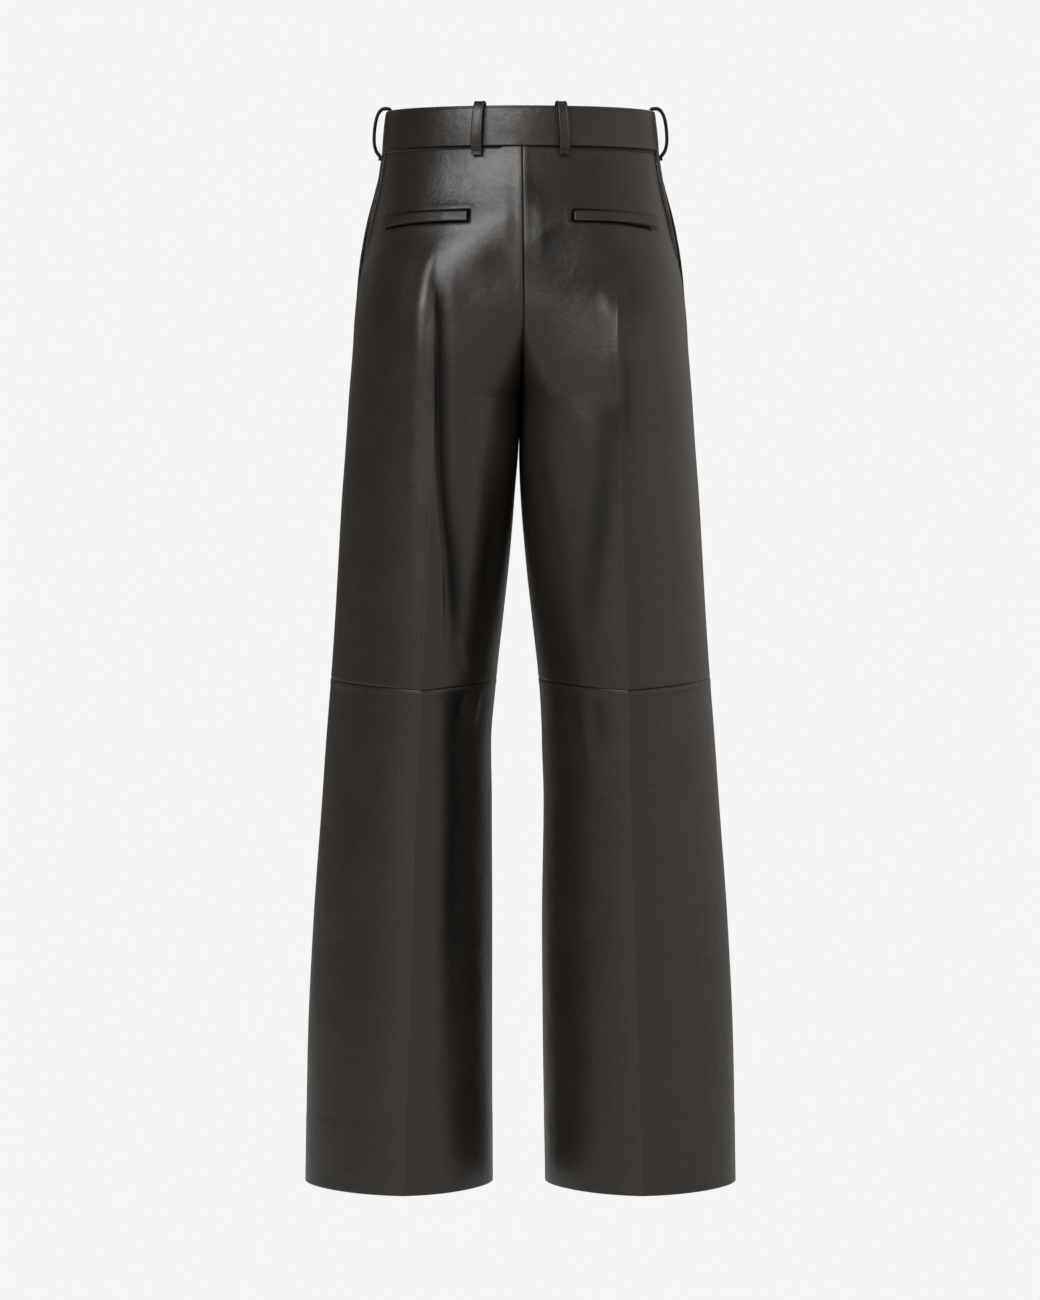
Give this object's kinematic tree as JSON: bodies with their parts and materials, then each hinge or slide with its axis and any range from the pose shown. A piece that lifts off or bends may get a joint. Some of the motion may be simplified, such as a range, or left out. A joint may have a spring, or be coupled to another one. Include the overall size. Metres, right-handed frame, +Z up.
{
  "type": "leather trousers",
  "caption": "High-waisted wide-leg leather trousers with pressed creases, knee seams, welt pockets and belt loops, filled out as when worn.",
  "frame": {"origin": "centre of the waistband's ring at half the band's height, where the wearer's waist holds the trousers", "axes": "+X towards the wearer's right, +Y towards the wearer's front, +Z up"},
  "size_m": [0.432, 0.2466, 1.0742],
  "materials": {
    "leather": "smooth fine-grained soft-gloss nappa, warm near-black",
    "leather_band": "smooth fine-grained soft-gloss nappa, warm near-black",
    "leather_trim": "smooth fine-grained soft-gloss nappa, warm near-black, folded edges",
    "zip_tape": "matt black woven tape",
    "zip_metal": "dark satin metal"
  },
  "bodies": {
    "root": {"back_left": "leather", "back_right": "leather", "front_left": "leather", "front_right": "leather", "lower_back_left": "leather", "lower_back_right": "leather", "lower_front_left": "leather", "lower_front_right": "leather", "side_pocket_facing_left": "leather_trim", "side_pocket_facing_right": "leather_trim", "back_pocket_welt_left": "leather_trim", "back_pocket_welt_right": "leather_trim", "belt_loop_back_left": "leather_trim", "belt_loop_back_right": "leather_trim", "belt_loop_side_left": "leather_trim", "belt_loop_side_right": "leather_trim", "belt_loop_front_left": "leather_trim", "belt_loop_front_right": "leather_trim", "waistband": "leather_band", "fly_zip": "zip_tape", "zip_slider": "zip_metal", "waistband_hook": "zip_metal", "waistband_bar": "zip_metal"}
  },
  "joints": []
}
